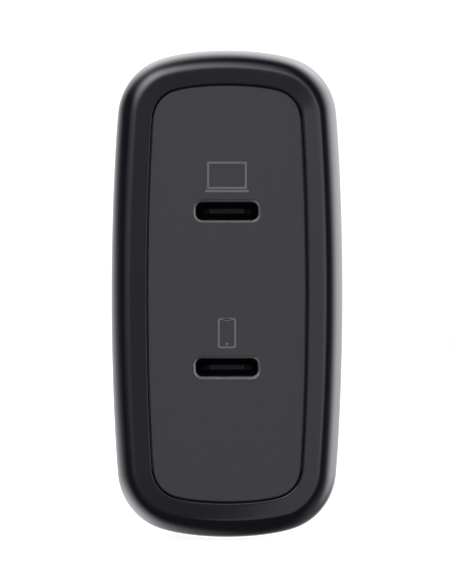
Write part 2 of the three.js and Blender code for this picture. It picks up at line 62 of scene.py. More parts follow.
FRONT = HOUSING_LOW.y
GAP = 0.3 * MM
WALL = 2 * MM
REAR_WALL = 2.2 * MM
REAR_EDGE = 3 * MM

# The rounded front edge, seen from the front and from the side, and the ring between it and the face plate.
EDGE_WIDTH = 2.75 * MM
EDGE_DEPTH = 3.6 * MM
RING_WIDTH = 1.85 * MM
RING_SLOPE = 0.12
RING_DROP = RING_SLOPE * RING_WIDTH
LIP = EDGE_WIDTH + RING_WIDTH
LEDGE = 1.6 * MM
PANEL_SEAT = PANEL_HIGH.y + GAP
HAIRLINE = 0.12 * MM  # half of the groove between the face plate and the ring

TRAY_CORNER = 3 * MM
TRAY_HALF_WIDTH = 10.2 * MM
TRAY_HALF_HEIGHT = 17 * MM

QUARTER_POINTS = 42  # points along a quarter of the case's outline, and of each outline that it runs into

PORTS = ("upper", "lower")


# ---------------------------------------------------------------------------------------------------------
# Outlines and profiles
# ---------------------------------------------------------------------------------------------------------

def eased(value):
    """0 below 0, 1 above 1, and a smooth step between."""
    t = min(max(value, 0), 1)
    return t * t * (3 - 2 * t)


def mirrored(quarter):
    """A whole outline from the points of its upper right quarter, which runs from the side to the end."""
    left = [Vector((-p.x, p.y)) for p in reversed(quarter[1:-1])]
    upper = quarter + left
    return upper + [-p for p in upper]


def soft_outline(half_width, half_height, side, corner, end, side_turn, end_turn):
    """An outline in X and Z with no sudden change of curvature, as a function of how far inwards it moves.

    Its radius runs from that of the side to that of the corner about side_turn degrees from X, and on to
    that of the end about end_turn degrees from X. Each change is spread over its blend, in degrees, to
    either side."""
    side_blend, end_blend = 2.3, 14.3
    steps = 1800
    turn = 90 / steps
    spot = Vector((0, 0))
    path = [(0.0, spot.copy())]
    for i in range(steps):
        at = (i + 0.5) * turn
        to_corner = eased((side_turn + side_blend - at) / (2 * side_blend))
        to_end = eased((at - end_turn + end_blend) / (2 * end_blend))
        radius = corner + (side - corner) * to_corner + (end - corner) * to_end
        heading = Vector((-math.sin(math.radians(at)), math.cos(math.radians(at))))
        spot = spot + heading * radius * math.radians(turn)
        path.append((path[-1][0] + radius, spot.copy()))
    length, last = path[-1]
    scale = Vector((half_width / -last.x, half_height / last.y))
    samples = []
    for i, (walked, spot) in enumerate(path):
        share = (walked / length + i / steps) / 2
        if share * QUARTER_POINTS >= len(samples) - 1e-9:
            place = Vector((half_width + spot.x * scale.x, spot.y * scale.y))
            facing = Vector((math.cos(math.radians(i * turn)), math.sin(math.radians(i * turn))))
            samples.append((place, facing))

    def at_inset(inset):
        return mirrored([place - facing * inset for place, facing in samples])

    return at_inset


def square_outline(half_width, half_height, corner):
    """A rectangle with rounded corners that matches a soft outline point for point."""
    third = QUARTER_POINTS // 3
    centre = Vector((half_width - corner, half_height - corner))

    def at_inset(inset):
        radius = corner - inset
        side = [Vector((half_width - inset, centre.y * i / third)) for i in range(third)]
        turns = [math.pi / 2 * i / third for i in range(third)]
        bend = [centre + Vector((math.cos(t), math.sin(t))) * radius for t in turns]
        end = [Vector((centre.x * (1 - i / third), half_height - inset)) for i in range(third + 1)]
        return mirrored(side + bend + end)

    return at_inset


# The radii and turns of both outlines are the rounded result of a least-squares fit.
case_outline = soft_outline(
    HOUSING_HIGH.x, HOUSING_HIGH.z,
    side=347 * MM, corner=8.36 * MM, end=50.8 * MM, side_turn=3.9, end_turn=81.4,
)
groove_outline = soft_outline(
    PANEL_HIGH.x + 0.15 * MM, PANEL_HIGH.z + 0.09 * MM,
    side=411 * MM, corner=4.07 * MM, end=61.9 * MM, side_turn=3.2, end_turn=84.8,
)
tray_window = square_outline(TRAY_HALF_WIDTH + GAP, TRAY_HALF_HEIGHT + GAP, TRAY_CORNER + GAP)


def rounded_rectangle(width, height, radius, centre=(0, 0), steps=10):
    """Points (u, v) round a rectangle with rounded corners."""
    middle = Vector(centre)
    points = []
    for quarter, (su, sv) in enumerate(((1, -1), (1, 1), (-1, 1), (-1, -1))):
        corner = middle + Vector((su * (width / 2 - radius), sv * (height / 2 - radius)))
        for i in range(steps + 1):
            angle = (quarter - 1 + i / steps) * math.pi / 2
            points.append(corner + Vector((math.cos(angle), math.sin(angle))) * radius)
    return points


def circle(radius, centre=(0, 0), steps=48):
    """Points (u, v) round a circle."""
    middle = Vector(centre)
    turns = (2 * math.pi * i / steps for i in range(steps))
    return [middle + Vector((math.cos(t), math.sin(t))) * radius for t in turns]


def filleted(profile, steps=5):
    """A closed profile of (u, v, radius) corners as points, with an arc of that radius at each corner."""
    points = []
    count = len(profile)
    for i, (u, v, radius) in enumerate(profile):
        here = Vector((u, v))
        if radius == 0:
            points.append(here)
            continue
        before = (Vector(profile[i - 1][:2]) - here).normalized()
        after = (Vector(profile[(i + 1) % count][:2]) - here).normalized()
        half = before.angle(after) / 2
        centre = here + (before + after).normalized() * (radius / math.sin(half))
        start = here + before * (radius / math.tan(half)) - centre
        stop = here + after * (radius / math.tan(half)) - centre
        swing = start.angle(stop)
        for j in range(steps + 1):
            turned = swing * j / steps
            arm = math.sin(swing - turned) * start + math.sin(turned) * stop
            points.append(centre + arm.normalized() * radius)
    return points


# ---------------------------------------------------------------------------------------------------------
# Meshes
# ---------------------------------------------------------------------------------------------------------

def smooth(mesh, angle=32):
    """Smooth shading, with edges sharper than the angle left sharp."""
    mesh.shade_smooth()
    mesh.set_sharp_from_angle(angle=math.radians(angle))


def new_piece(name, mesh):
    """An object that shows the mesh."""
    piece = bpy.data.objects.new(name, mesh)
    bpy.context.scene.collection.objects.link(piece)
    return piece


def clean(mesh, merge=0.0005 * MM, flatten=False):
    """Merges points nearer than merge, makes each flat face whole if asked, turns the faces outwards."""
    work = bmesh.new()
    work.from_mesh(mesh)
    bmesh.ops.remove_doubles(work, verts=work.verts, dist=merge)
    if flatten:
        bmesh.ops.dissolve_limit(work, angle_limit=math.radians(0.5), verts=work.verts, edges=work.edges)
    bmesh.ops.recalc_face_normals(work, faces=work.faces)
    work.to_mesh(mesh)
    work.free()


def mesh_piece(name, points, faces):
    """A piece from its points and faces."""
    mesh = bpy.data.meshes.new(name)
    mesh.from_pydata(points, [], faces)
    clean(mesh)
    smooth(mesh)
    return weighted(new_piece(name, mesh))


def weighted(piece):
    """Shading in which the large faces keep their own direction and the small ones turn between them."""
    modifier = piece.modifiers.new("Weighted normals", "WEIGHTED_NORMAL")
    modifier.keep_sharp = True
    modifier.weight = 80
    return piece


def swept(name, rings, closed=True):
    """A skin through rings of points. A closed one joins its last ring to its first, an open one has flat
    ends."""
    count = len(rings[0])
    points = [p for ring in rings for p in ring]
    faces = []
    pairs = len(rings) if closed else len(rings) - 1
    for i in range(pairs):
        here, there = i * count, (i + 1) % len(rings) * count
        for j in range(count):
            k = (j + 1) % count
            faces.append((here + j, here + k, there + k, there + j))
    if not closed:
        faces.append(tuple(range(count)))
        faces.append(tuple(range((len(rings) - 1) * count, len(rings) * count)))
    return mesh_piece(name, points, faces)


def slab(low, high):
    """The eight corners of a box, whichever way round its two ends are given."""
    return [
        (x, y, z)
        for x in sorted((low[0], high[0]))
        for y in sorted((low[1], high[1]))
        for z in sorted((low[2], high[2]))
    ]


def boxes(name, slabs):
    """One piece made of separate boxes."""
    sides = ((0, 1, 3, 2), (4, 6, 7, 5), (0, 4, 5, 1), (2, 3, 7, 6), (0, 2, 6, 4), (1, 5, 7, 3))
    points = [corner for corners in slabs for corner in corners]
    faces = [tuple(8 * i + k for k in side) for i in range(len(slabs)) for side in sides]
    return mesh_piece(name, points, faces)


def ring_between(knots, distance, y):
    """The ring of points at some distance inwards and depth y.

    The knots (distance, outline, inset) say which outline holds where, and between two of them it is a
    mixture."""
    for (d0, outline0, inset0), (d1, outline1, inset1) in zip(knots, knots[1:]):
        if distance <= d1:
            break
    share = (distance - d0) / (d1 - d0)
    mixed = (a.lerp(b, share) for a, b in zip(outline0(inset0), outline1(inset1)))
    return [(p.x, y, p.y) for p in mixed]


def plate(name, loops, low, high, bevel, axis="Y"):
    """A flat plate with rounded edges. The first loop is its outline and the others are holes in it.

    Along Y the loops are in X and Z; along X they are in Y and Z."""
    curve = bpy.data.curves.new(name, "CURVE")
    curve.dimensions = "2D"
    curve.fill_mode = "BOTH"
    curve.extrude = (high - low) / 2 - bevel
    curve.bevel_depth = bevel
    curve.bevel_resolution = 3
    curve.offset = -bevel
    for loop in loops:
        spline = curve.splines.new("POLY")
        spline.points.add(len(loop) - 1)
        for point, corner in zip(spline.points, loop):
            point.co = (corner.x, corner.y, 0, 1)
        spline.use_cyclic_u = True
    source = bpy.data.objects.new(name, curve)
    mesh = bpy.data.meshes.new_from_object(source)
    bpy.data.objects.remove(source)
    bpy.data.curves.remove(curve)
    middle = (low + high) / 2
    if axis == "Y":
        rows = ((1, 0, 0, 0), (0, 0, -1, middle), (0, 1, 0, 0), (0, 0, 0, 1))
    else:
        rows = ((0, 0, 1, middle), (1, 0, 0, 0), (0, 1, 0, 0), (0, 0, 0, 1))
    mesh.transform(Matrix(rows))
    clean(mesh, flatten=True)
    mesh.name = name
    smooth(mesh)
    return weighted(new_piece(name, mesh))


def joined(name, parts):
    """Several parts as one piece."""
    with bpy.context.temp_override(active_object=parts[0], selected_editable_objects=parts):
        bpy.ops.object.join()
    piece = parts[0]
    piece.name = name
    piece.data.name = name
    return piece


def refined(node, bevel, segments=3, angle=32):
    """A copy of a CAD node with its sharp edges rounded."""
    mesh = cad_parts[node].data.copy()
    mesh.name = f"{node}_finished"
    clean(mesh, 0.002 * MM, flatten=True)
    mesh.materials.clear()
    smooth(mesh, angle)
    piece = new_piece(f"{node}_finished", mesh)
    rounding = piece.modifiers.new("Rounded edges", "BEVEL")
    rounding.width = bevel
    rounding.segments = segments
    rounding.limit_method = "ANGLE"
    rounding.angle_limit = math.radians(angle)
    return weighted(piece)


def stands_for(piece, node, body, material_slot):
    """Puts a finished piece in a CAD node's place, with the material of the node's slot."""
    piece.data.materials.clear()
    piece.data.materials.append(MATERIALS[material_slot])
    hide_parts(node)
    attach(piece, body)
    return piece


# ---------------------------------------------------------------------------------------------------------
# Materials
# ---------------------------------------------------------------------------------------------------------

def principled(name, roughness, metallic=0.0):
    """A new material and its shader."""
    material = bpy.data.materials.new(name)
    material.use_nodes = True
    tree = material.node_tree
    shader = tree.nodes["Principled BSDF"]
    shader.inputs["Roughness"].default_value = roughness
    shader.inputs["Metallic"].default_value = metallic
    return material, shader


def add_node(tree, kind, settings=None, values=None):
    """A node with its settings and socket values. A value that is a socket is linked."""
    node = tree.nodes.new(kind)
    for key, value in (settings or {}).items():
        setattr(node, key, value)
    for key, value in (values or {}).items():
        if isinstance(value, bpy.types.NodeSocket):
            tree.links.new(value, node.inputs[key])
        else:
            node.inputs[key].default_value = value
    return node


def noise(tree, scale, detail, stretch=(1, 1, 1)):
    """Noise in the object's own space. The scale is in cycles per metre."""
    place = add_node(tree, "ShaderNodeTexCoord").outputs["Object"]
    mapped = add_node(tree, "ShaderNodeMapping", values={"Vector": place, "Scale": stretch})
    values = {"Vector": mapped.outputs["Vector"], "Scale": scale, "Detail": detail}
    return add_node(tree, "ShaderNodeTexNoise", values=values).outputs["Fac"]


NOISE_LOW, NOISE_HIGH = 0.3, 0.7  # nearly all of a noise lies between these two


def ranged(tree, value, low, high):
    """A noise carried to low...high."""
    values = {"Value": value, "From Min": NOISE_LOW, "From Max": NOISE_HIGH, "To Min": low, "To Max": high}
    return add_node(tree, "ShaderNodeMapRange", values=values).outputs["Result"]


def shade(tree, shader, colour, darker, fac):
    """Base colour that moves between two tones of the same colour."""
    ramp = add_node(tree, "ShaderNodeValToRGB", values={"Fac": fac})
    dark, full = ramp.color_ramp.elements
    dark.position = NOISE_LOW
    dark.color = [c * darker for c in colour] + [1]
    full.position = NOISE_HIGH
    full.color = [*colour, 1]
    tree.links.new(ramp.outputs["Color"], shader.inputs["Base Color"])


def bump(tree, shader, height, depth, strength=1.0, previous=None):
    """Relief of the given depth in metres, on top of the previous one."""
    values = {"Height": height, "Distance": depth, "Strength": strength}
    if previous is not None:
        values["Normal"] = previous
    node = add_node(tree, "ShaderNodeBump", values=values)
    tree.links.new(node.outputs["Normal"], shader.inputs["Normal"])
    return node.outputs["Normal"]


def grained(name, colour, roughness, grain, relief, darker=0.8, metallic=0.0, stretch=(1, 1, 1), gloss=0.5):
    """A material whose fine grain changes its gloss and surface, and whose tone drifts more slowly."""
    material, shader = principled(name, roughness, metallic)
    shader.inputs["Specular IOR Level"].default_value = gloss
    tree = material.node_tree
    fine = noise(tree, 1 / grain, 4, stretch)
    broad = noise(tree, 1 / (60 * grain), 2)
    shade(tree, shader, colour, darker, broad)
    spread = 0.08
    tree.links.new(ranged(tree, fine, roughness - spread, roughness + spread), shader.inputs["Roughness"])
    bump(tree, shader, fine, relief)
    return material


def shell_material():
    """Polished near-black plastic: faint orange peel and fine dust-like changes in its gloss."""
    material, shader = principled("shell_gloss", 0.07)
    tree = material.node_tree
    shade(tree, shader, (0.004, 0.0038, 0.0074), 0.8, noise(tree, 60, 2))
    tree.links.new(ranged(tree, noise(tree, 900, 4), 0.055, 0.095), shader.inputs["Roughness"])
    peel = bump(tree, shader, noise(tree, 260, 1), 1.2e-6, 0.5)
    bump(tree, shader, noise(tree, 2500, 2), 0.15e-6, 0.5, peel)
    return material


def face_material():
    """Dark satin plastic with a fine spark-eroded grain."""
    material, shader = principled("face_satin", 0.5)
    tree = material.node_tree
    fine = noise(tree, 9000, 3)
    shade(tree, shader, (0.026, 0.0247, 0.0303), 0.9, noise(tree, 1500, 3))
    tree.links.new(ranged(tree, fine, 0.44, 0.56), shader.inputs["Roughness"])
    bump(tree, shader, fine, 2e-6, 0.35)
    return material


def print_material():
    """Pad-printed grey ink, a little uneven where it covers the grain."""
    material, shader = principled("print_grey", 0.55)
    tree = material.node_tree
    shade(tree, shader, (0.138, 0.136, 0.147), 0.82, noise(tree, 7000, 3))
    bump(tree, shader, noise(tree, 9000, 3), 2e-6, 0.4)
    return material


def socket_rim_material():
    """Stamped stainless steel with fine drawing lines along the socket."""
    material, shader = principled("socket_steel", 0.5, 1.0)
    tree = material.node_tree
    lines = noise(tree, 9000, 3, (1, 0.05, 1))
    shade(tree, shader, (0.33, 0.33, 0.345), 0.8, noise(tree, 2500, 3))
    tree.links.new(ranged(tree, lines, 0.44, 0.58), shader.inputs["Roughness"])
    bump(tree, shader, lines, 1.5e-6, 0.4)
    return material


def nickel_material():
    """Bright nickel plate with light scratches along the blade and duller patches."""
    material, shader = principled("nickel_plate", 0.2, 1.0)
    tree = material.node_tree
    scratches = noise(tree, 5000, 3, (1, 1, 0.04))
    patches = noise(tree, 350, 3)
    shade(tree, shader, (0.72, 0.695, 0.65), 0.86, patches)
    tree.links.new(ranged(tree, patches, 0.15, 0.28), shader.inputs["Roughness"])
    bump(tree, shader, scratches, 1.5e-6, 0.35)
    return material


# The plainer materials: colour, roughness, size and depth of the grain, and what else sets them apart.
GRAINED = {
    "inner_plastic": ((0.02, 0.0195, 0.021), 0.42, 0.12 * MM, 5e-6, {}),
    "socket_plastic": ((0.004, 0.004, 0.006), 0.6, 0.1 * MM, 4e-6, {"gloss": 0.2}),
    "bronze": ((0.6, 0.38, 0.18), 0.32, 0.15 * MM, 2e-6, {"metallic": 1.0, "stretch": (1, 0.1, 1)}),
    "gold_plate": ((0.83, 0.56, 0.2), 0.24, 0.1 * MM, 1e-6, {"metallic": 1.0}),
    "black_insulation": ((0.013, 0.013, 0.014), 0.45, 0.2 * MM, 6e-6, {}),
    "red_insulation": ((0.35, 0.02, 0.02), 0.45, 0.2 * MM, 6e-6, {}),
    "circuit_board": ((0.01, 0.09, 0.03), 0.35, 0.4 * MM, 8e-6, {"darker": 0.6}),
    "chip_resin": ((0.015, 0.015, 0.017), 0.55, 0.08 * MM, 5e-6, {}),
    "insulating_film": ((0.6, 0.57, 0.48), 0.5, 0.3 * MM, 6e-6, {}),
    "capacitor_box": ((0.6, 0.48, 0.05), 0.4, 0.25 * MM, 6e-6, {}),
    "fuse_body": ((0.22, 0.07, 0.03), 0.45, 0.2 * MM, 6e-6, {}),
    "thermistor_coat": ((0.03, 0.06, 0.04), 0.4, 0.5 * MM, 2e-5, {}),
    "blue_coat": ((0.03, 0.12, 0.36), 0.35, 0.5 * MM, 2e-5, {}),
    "capacitor_sleeve": ((0.02, 0.03, 0.05), 0.35, 0.3 * MM, 6e-6, {}),
    "ferrite": ((0.03, 0.03, 0.032), 0.65, 0.15 * MM, 1.2e-5, {"darker": 0.6}),
    "copper_wire": ((0.5, 0.16, 0.055), 0.28, 0.2 * MM, 2e-6, {"metallic": 1.0}),
    "winding_tape": ((0.68, 0.45, 0.02), 0.35, 0.4 * MM, 8e-6, {}),
    "thermal_pad": ((0.2, 0.26, 0.36), 0.75, 0.2 * MM, 1e-5, {}),
    "aluminium_sheet": (
        (0.6, 0.61, 0.62), 0.38, 0.12 * MM, 3e-6, {"metallic": 1.0, "stretch": (1, 1, 0.06)}
    ),
    "can_aluminium": ((0.62, 0.62, 0.63), 0.3, 0.12 * MM, 2e-6, {"metallic": 1.0, "stretch": (0.08, 1, 1)}),
}


def make_materials():
    """Every material by its name. Each CAD node's material slot has the name of its material."""
    made = {
        "shell_gloss": shell_material(),
        "face_satin": face_material(),
        "print": print_material(),
        "steel": socket_rim_material(),
        "nickel_plate": nickel_material(),
    }
    for name, (colour, roughness, grain, relief, extra) in GRAINED.items():
        made[name] = grained(name, colour, roughness, grain, relief, **extra)
    return made


MATERIALS = make_materials()


# ---------------------------------------------------------------------------------------------------------
# Case
# ---------------------------------------------------------------------------------------------------------

def edge_arc(start_slope, steps=32):
    """The rounded front edge as (inset, y) points, from the ring to the silhouette.

    It is part of an ellipse that starts with the ring's own slope, so that the two surfaces run into each
    other."""
    first = math.atan(start_slope * EDGE_WIDTH / EDGE_DEPTH)
    width = EDGE_WIDTH / (1 - math.sin(first))
    points = []
    for i in range(steps + 1):
        angle = first + (math.pi / 2 - first) * i / steps
        inset = width * (1 - math.sin(angle))
        y = -EDGE_DEPTH * (math.cos(angle) / math.cos(first))
        points.append((inset, FRONT + EDGE_DEPTH + RING_DROP + y))
    return points


def straight(start, stop, steps):
    """Points (inset, y) along the straight side of the case, from just after the start."""
    return [(0, start + (stop - start) * i / steps) for i in range(1, steps + 1)]


def front_housing():
    """The front shell as one sweep: lip, ring, rounded edge and side, and back along the inside."""
    knots = (
        (0, case_outline, 0),
        (EDGE_WIDTH, case_outline, EDGE_WIDTH),
        (LIP, groove_outline, -HAIRLINE),
        (LIP + LEDGE, groove_outline, LEDGE),
    )
    rear = HOUSING_HIGH.y
    bay = PANEL_SEAT + 1.5 * MM
    seat = (LIP + LEDGE, PANEL_SEAT)
    ring_end = (EDGE_WIDTH, FRONT + RING_DROP)
    lip = filleted([
        (*seat, 0),
        (LIP, PANEL_SEAT, 0.05 * MM),
        (LIP, FRONT, 0.14 * MM),
        (*ring_end, 0),
    ])[1:-1]
    ring_steps = 6
    ring = []
    for i in range(1, ring_steps):
        share = i / ring_steps
        ring.append((LIP - RING_WIDTH * share, FRONT + RING_DROP * share))
    edge = edge_arc(RING_SLOPE)
    side = straight(edge[-1][1], rear - 0.4 * MM, 8)
    inside = filleted([
        (0, rear, 0.3 * MM),
        (WALL, rear, 0.1 * MM),
        (WALL, bay + 1.2 * MM, 0.3 * MM),
        (WALL + 1.2 * MM, bay, 0.3 * MM),
        (LIP + LEDGE, bay, 0.1 * MM),
        (*seat, 0),
    ])
    profile = [*lip, *ring, *edge, *side, *inside]
    rings = [ring_between(knots, inset, y) for inset, y in profile]
    piece = swept("front_shell", rings)
    return stands_for(piece, "front_housing", "case", "shell_gloss")


def rear_housing():
    """The rear shell as one sweep: edge, side, the lip that enters the front shell, wall and window."""
    flat_start = REAR_EDGE + 0.3 * MM
    flat_end = REAR_EDGE + 1.3 * MM
    window = REAR_EDGE + 1.8 * MM
    knots = (
        (0, case_outline, 0),
        (flat_start, case_outline, flat_start),
        (flat_end, tray_window, flat_end - window),
        (window, tray_window, 0),
    )
    parting = HOUSING_HIGH.y + GAP
    lip = WALL + GAP
    inner = lip + 1 * MM
    steps = 14
    corner = []
    for i in range(steps + 1):
        angle = math.pi / 2 * i / steps
        corner.append((REAR_EDGE * (1 - math.sin(angle)), -REAR_EDGE * (1 - math.cos(angle))))
    side = straight(-REAR_EDGE, parting + 0.4 * MM, 3)
    around = filleted([
        (0, parting, 0.3 * MM),
        (lip, parting, 0),
        (lip, REAR_LOW.y, 0.2 * MM),
        (inner, REAR_LOW.y, 0.1 * MM),
        (inner, -REAR_WALL, 0),
        (window, -REAR_WALL, 0.1 * MM),
        (window, 0, 0.25 * MM),
    ])
    flat = [(flat_end, 0), (flat_start, 0)]
    profile = [*corner, *side, *around, *flat]
    rings = [ring_between(knots, inset, y) for inset, y in profile]
    piece = swept("rear_shell", rings)
    return stands_for(piece, "rear_housing", "case", "shell_gloss")


# ---------------------------------------------------------------------------------------------------------
# Face: the plate, its two sockets and the printed symbols
# ---------------------------------------------------------------------------------------------------------

RIM = 0.31 * MM  # width of a socket's sloping rim, seen from the front
RIM_DEPTH = 0.42 * MM
SOCKET_SIDE_WALL = 0.38 * MM
SOCKET_TOP_WALL = 0.44 * MM
SOCKET_CORNER = 0.88 * MM
SOCKET_SHIFT = {"upper": -0.06 * MM, "lower": 0.06 * MM}  # both openings stand nearer to the middle


def socket_size(port):
    """The height of a socket's middle, and its opening's width and height."""
    low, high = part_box(f"{port}_port_shell")
    middle = (low.z + high.z) / 2 + SOCKET_SHIFT[port]
    return middle, high.x - low.x - 2 * SOCKET_SIDE_WALL, high.z - low.z - 2 * SOCKET_TOP_WALL


def mouth(port, inset):
    """Points (x, z) round a socket's opening, moved inwards by the inset."""
    middle, width, height = socket_size(port)
    return rounded_rectangle(width - 2 * inset, height - 2 * inset, SOCKET_CORNER - inset, (0, middle))


def face_plate():
    """The satin panel with a hole for each socket. A socket's rim reaches a hair under the hole's edge."""
    lap = 0.05 * MM
    loops = [groove_outline(HAIRLINE)] + [mouth(port, lap - RIM) for port in PORTS]
    piece = plate("face_panel", loops, PANEL_LOW.y, PANEL_HIGH.y, 0.13 * MM)
    return stands_for(piece, "face_plate", "case", "face_satin")


def socket_shell(port):
    """A drawn steel shell whose mouth slopes inwards all the way round."""
    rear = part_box(f"{port}_port_shell")[1].y - 0.1 * MM
    face = PANEL_LOW.y + 0.02 * MM
    profile = filleted([
        (-RIM, face, 0.05 * MM),
        (0, face + RIM_DEPTH, 0.12 * MM),
        (0, rear, 0),
        (-SOCKET_SIDE_WALL, rear, 0),
        (-SOCKET_SIDE_WALL, face + 0.6 * MM, 0),
        (-RIM, face + 0.5 * MM, 0),
    ])
    rings = [[(p.x, y, p.y) for p in mouth(port, inset)] for inset, y in profile]
    piece = swept(f"{port}_socket_shell", rings)
    return stands_for(piece, f"{port}_port_shell", "case", "steel")


TONGUE_WIDTH = 6.7 * MM
TONGUE_HALF = 0.35 * MM
NOSE_HALF = 0.42 * MM  # the nose stands a little proud, so that it covers the ends of the contacts
NOSE_LENGTH = 1.0 * MM
NOSE_SETBACK = 0.7 * MM  # how much deeper in the socket the nose lies than the CAD tongue's


def nose_depth(port):
    """Where the front of a tongue lies along Y."""
    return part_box(f"{port}_port_tongue")[0].y + NOSE_SETBACK


def socket_tongue(port):
    """The plastic tongue: a tapered nose, a thinner body for the contacts, a base that fills the shell."""
    middle, width, height = socket_size(port)
    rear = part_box(f"{port}_port_tongue")[1].y
    nose = nose_depth(port)
    body = nose + NOSE_LENGTH
    base = rear - 0.9 * MM
    sections = (
        (nose, TONGUE_WIDTH - 2.2 * MM, NOSE_HALF - 0.17 * MM),
        (nose + 0.05 * MM, TONGUE_WIDTH - 2.0 * MM, NOSE_HALF - 0.09 * MM),
        (nose + 0.15 * MM, TONGUE_WIDTH - 1.9 * MM, NOSE_HALF - 0.03 * MM),
        (nose + 0.4 * MM, TONGUE_WIDTH - 1.7 * MM, NOSE_HALF),
        (body - 0.05 * MM, TONGUE_WIDTH, NOSE_HALF),
        (body, TONGUE_WIDTH, TONGUE_HALF),
        (base, TONGUE_WIDTH, TONGUE_HALF),
        (base, width - 0.1 * MM, height / 2 - 0.05 * MM),
        (rear, width - 0.1 * MM, height / 2 - 0.05 * MM),
    )
    rings = []
    for y, across, half in sections:
        loop = rounded_rectangle(across, 2 * half, half * 0.6, (0, middle))
        rings.append([(p.x, y, p.y) for p in loop])
    piece = swept(f"{port}_socket_tongue", rings, closed=False)
    return stands_for(piece, f"{port}_port_tongue", "case", "socket_plastic")


CONTACTS = 12
CONTACT_PITCH = 0.5 * MM
CONTACT_HALF = 0.13 * MM


def socket_contacts(port):
    """A row of gold-plated strips along each face of the tongue, let into it behind the nose."""
    middle = socket_size(port)[0]
    start = nose_depth(port) + NOSE_LENGTH - 0.05 * MM
    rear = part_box(f"{port}_port_contacts")[1].y
    strips = []
    for side in (1, -1):
        inner, outer = middle + side * 0.3 * MM, middle + side * 0.39 * MM
        for i in range(CONTACTS):
            x = (i - (CONTACTS - 1) / 2) * CONTACT_PITCH
            strips.append(slab((x - CONTACT_HALF, start, inner), (x + CONTACT_HALF, rear, outer)))
    piece = boxes(f"{port}_socket_contacts", strips)
    return stands_for(piece, f"{port}_port_contacts", "case", "gold_plate")


INK = 0.02 * MM


def line_round(width, height, line, outer_corner, inner_corner, middle):
    """A rounded rectangle drawn with a line, as its outer and its inner edge."""
    outer = rounded_rectangle(width, height, outer_corner, (0, middle))
    inner = rounded_rectangle(width - 2 * line, height - 2 * line, inner_corner, (0, middle))
    return [outer, inner]


def printed(name, *shapes):
    """Ink on the face plate. Each shape is a list of loops: the first one is filled, the rest left open."""
    face = PANEL_LOW.y
    parts = [plate(f"{name}_part", loops, face - INK, face + INK, 0.005 * MM) for loops in shapes]
    piece = joined(name, parts)
    piece.data.materials.append(MATERIALS["print"])
    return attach(piece, "case")


def laptop_symbol():
    """A screen's outline over a thin bar, above the upper socket."""
    middle = socket_size("upper")[0] + 4.75 * MM
    screen = line_round(5.3 * MM, 3.64 * MM, 0.27 * MM, 0.12 * MM, 0.03 * MM, middle)
    base = rounded_rectangle(5.84 * MM, 0.3 * MM, 0.1 * MM, (0, middle - 2.1 * MM))
    return printed("laptop_symbol", screen, [base])


def phone_symbol():
    """A phone's outline with a short bar at its top and a dot near its foot, above the lower socket."""
    middle = socket_size("lower")[0] + 4.58 * MM
    body = line_round(2.43 * MM, 4.02 * MM, 0.24 * MM, 0.35 * MM, 0.16 * MM, middle)
    speaker = rounded_rectangle(1.0 * MM, 0.3 * MM, 0.1 * MM, (0, middle + 1.78 * MM))
    button = circle(0.17 * MM, (0, middle - 1.42 * MM), 24)
    return printed("phone_symbol", body, [speaker], [button])


# ---------------------------------------------------------------------------------------------------------
# Plug
# ---------------------------------------------------------------------------------------------------------

def finish_node(node, body, material_slot, bevel):
    """Rounds a CAD node's edges and gives it its material."""
    piece = refined(node, bevel)
    return stands_for(piece, node, body, material_slot)


CARRIER_LOW, CARRIER_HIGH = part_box("blade_carrier")
PIVOT = (CARRIER_LOW + CARRIER_HIGH) / 2
BLADE_REACH = 17.5 * MM  # from a blade's shoulders to its tip
BLADE_NECK = 1.6 * MM  # half the width of the part that the carrier holds

# The tray's pocket for the carrier, the slots for the blades and the scoop for a finger.
POCKET_HALF_WIDTH = 8.6 * MM
SLOT_INNER = 5.3 * MM
SLOT_OUTER = 7.4 * MM
SLOT_FLOOR = -7.2 * MM
SCOOP_HALF_WIDTH = 5.4 * MM
SCOOP_TOP = -5.5 * MM
SCOOP_FOOT = -14.5 * MM
SCOOP_FLOOR = -4.8 * MM


def tray_opening(slots, scoop, behind):
    """The outline (x, z) of the tray's opening at some depth: the pocket and what runs into it there.

    Behind its rim, the tray also has room for the blades' tails and for the carrier's bearings."""
    top = PIVOT.z - PIVOT.y
    foot = PIVOT.z + PIVOT.y
    tip = foot - BLADE_REACH - 0.4 * MM
    tail = PIVOT.z + 5 * MM
    trunnion = 1.7 * MM
    small = 0.3 * MM
    half = []
    if behind:
        half += [(SLOT_INNER, top, 0), (SLOT_INNER, tail, small)]
        half += [(SLOT_OUTER, tail, small), (SLOT_OUTER, top, 0)]
    half.append((POCKET_HALF_WIDTH, top, small))
    if behind:
        reach = TRAY_HALF_WIDTH - 0.6 * MM
        half += [(POCKET_HALF_WIDTH, PIVOT.z + trunnion, 0), (reach, PIVOT.z + trunnion, small)]
        half += [(reach, PIVOT.z - trunnion, small), (POCKET_HALF_WIDTH, PIVOT.z - trunnion, 0)]
    half.append((POCKET_HALF_WIDTH, foot, small))
    if slots:
        half += [(SLOT_OUTER, foot, small), (SLOT_OUTER, tip, small)]
    if slots and scoop:
        half += [(SCOOP_HALF_WIDTH, tip, small), (SCOOP_HALF_WIDTH, SCOOP_FOOT, 2.1 * MM)]
    elif slots:
        half += [(SLOT_INNER, tip, small), (SLOT_INNER, foot, small)]
    return filleted(half + [(-x, z, radius) for x, z, radius in reversed(half)], 8)


